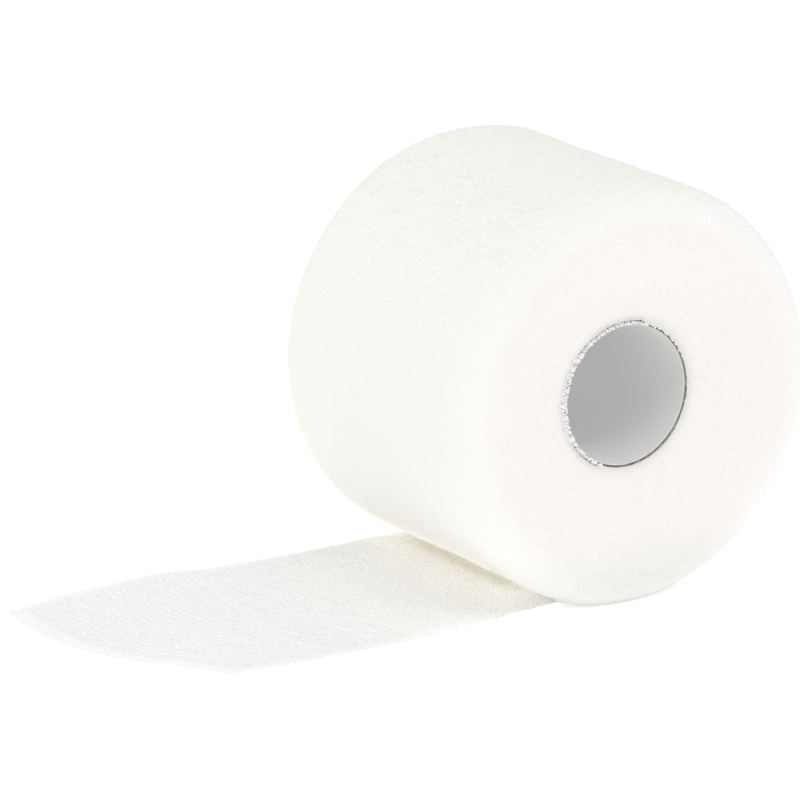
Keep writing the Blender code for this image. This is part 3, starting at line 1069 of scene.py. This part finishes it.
# each loop leaves the end face beside the bore, reaches in over the card's rim and comes back:
# radius = start - reach * sin(t)^0.7, angle = middle + width * cos(t), for t from 0 to pi
def makeRimLoops(finish):
    steps = rimLoops["steps"]
    rng = np.random.default_rng(seed=41)
    made = []
    t = math.pi * np.linspace(0.0, 1.0, steps)
    for side in (-1.0, 1.0):
        for count, first, last, start, end, low, high in rimLoops["rows"]:
            stray = rng.uniform(-rimLoops["scatter"], rimLoops["scatter"], count)
            middle = np.radians(np.linspace(first, last, count) + stray * (last - first) / count)
            reach = (start - end) * rng.uniform(low, high, count) * mm
            width = rng.uniform(*rimLoops["width"], count) / roll["boreRadius"]
            radius = start * mm - reach[:, None] * np.sin(t) ** rimLoops["round"]
            twist = rng.uniform(-rimLoops["twist"], rimLoops["twist"], count)[:, None]
            twist = twist / roll["boreRadius"] * np.sin(t)
            angle = middle[:, None] + width[:, None] * np.cos(t) + twist
            face = dishDepth(np.maximum(radius, roll["boreRadius"])) - roll["halfWidth"]
            out = rng.uniform(*rimLoops["out"], count)[:, None] * np.sin(t)
            out = out - rimLoops["foot"] * np.cos(t) ** 2
            paths = roundAxis(radius, angle, (face - out) * -side)
            up = np.array([0.0, side, 0.0])
            made.append(yarnTubes(paths, up, rimLoops["wide"], rimLoops["thick"], rimLoops["corners"]))
    vertices, faces, pairs = joined(made)
    piece = newMesh("rimLoops", vertices, faces, {"yarn": pairs})
    dress(piece, finish, "gauze")


# floor, lights, and the camera that was fitted to the photo
studio = {
    "floorSize": 30.0,
    "floorColour": (0.97, 0.97, 0.97, 1.0),
    "floorGlow": 0.30,
    "floorRoughness": 0.8,
    "worldStrength": 0.70,
    "lights": [
        # name, azimuth, elevation, distance, size, watts
        ("leftLight", -120.0, 15.0, 2.4, 1.5, 5.2),
        ("topLight", 0.0, 70.0, 2.4, 1.5, 15.1),
    ],
}
shot = {
    "lens": 264.17,
    "sensor": 36.0,
    "azimuth": -32.986,
    "elevation": 16.292,
    "distance": 1014.3 * mm,
    "clip": (0.1, 60.0),
    "aim": (-30.115 * mm, 0.0, 34.392 * mm),
}


# a lamp or camera at this distance from a place, in the direction (sin a cos e, -cos a cos e, sin e)
# of its azimuth a and elevation e in degrees, and looking back at the place
def putAt(name, data, middle, azimuth, elevation, distance):
    a, e = math.radians(azimuth), math.radians(elevation)
    back = Vector((math.sin(a) * math.cos(e), -math.cos(a) * math.cos(e), math.sin(e)))
    item = bpy.data.objects.new(name, data)
    item.location = Vector(middle) + back * distance
    item.rotation_euler = (-back).to_track_quat("-Z", "Y").to_euler()
    bpy.context.scene.collection.objects.link(item)
    return item


# floor, light and camera
def makeStudio():
    scene = bpy.context.scene
    scene.view_settings.view_transform = "Standard"
    world = bpy.data.worlds.new("paleStudio")
    world.use_nodes = True
    scene.world = world
    background = world.node_tree.nodes["Background"]
    background.inputs["Color"].default_value = white
    background.inputs["Strength"].default_value = studio["worldStrength"]

    half = studio["floorSize"] / 2
    corners = np.array([[-half, -half, 0], [half, -half, 0], [half, half, 0], [-half, half, 0]])
    floor = newMesh("floor", corners, [np.array([[0, 1, 2, 3]])])
    constants = {"Roughness": studio["floorRoughness"], "Emission_Strength": studio["floorGlow"]}
    finish = Finish("paleFloor", **constants)
    floor.data.materials.append(finish.set(Base_Color=studio["floorColour"], Emission_Color=white))

    for name, azimuth, elevation, distance, size, watts in studio["lights"]:
        data = bpy.data.lights.new(name, "AREA")
        data.shape = "DISK"
        data.size = size
        data.energy = watts
        lamp = putAt(name, data, (0.0, 0.0, 0.0), azimuth, elevation, distance)
        lamp.visible_camera = False

    data = bpy.data.cameras.new("camera")
    data.lens = shot["lens"]
    data.sensor_width = shot["sensor"]
    data.clip_start, data.clip_end = shot["clip"]
    scene.camera = putAt("camera", data, shot["aim"], shot["azimuth"], shot["elevation"], shot["distance"])
    print("studio set")


makeStudio()
makeWoundGauze(woundFinish())
makeCore(cardFinish())
gauzeYarn = yarnFinish()
makeLooseEnd(gauzeYarn)
makeRimLoops(gauzeYarn)
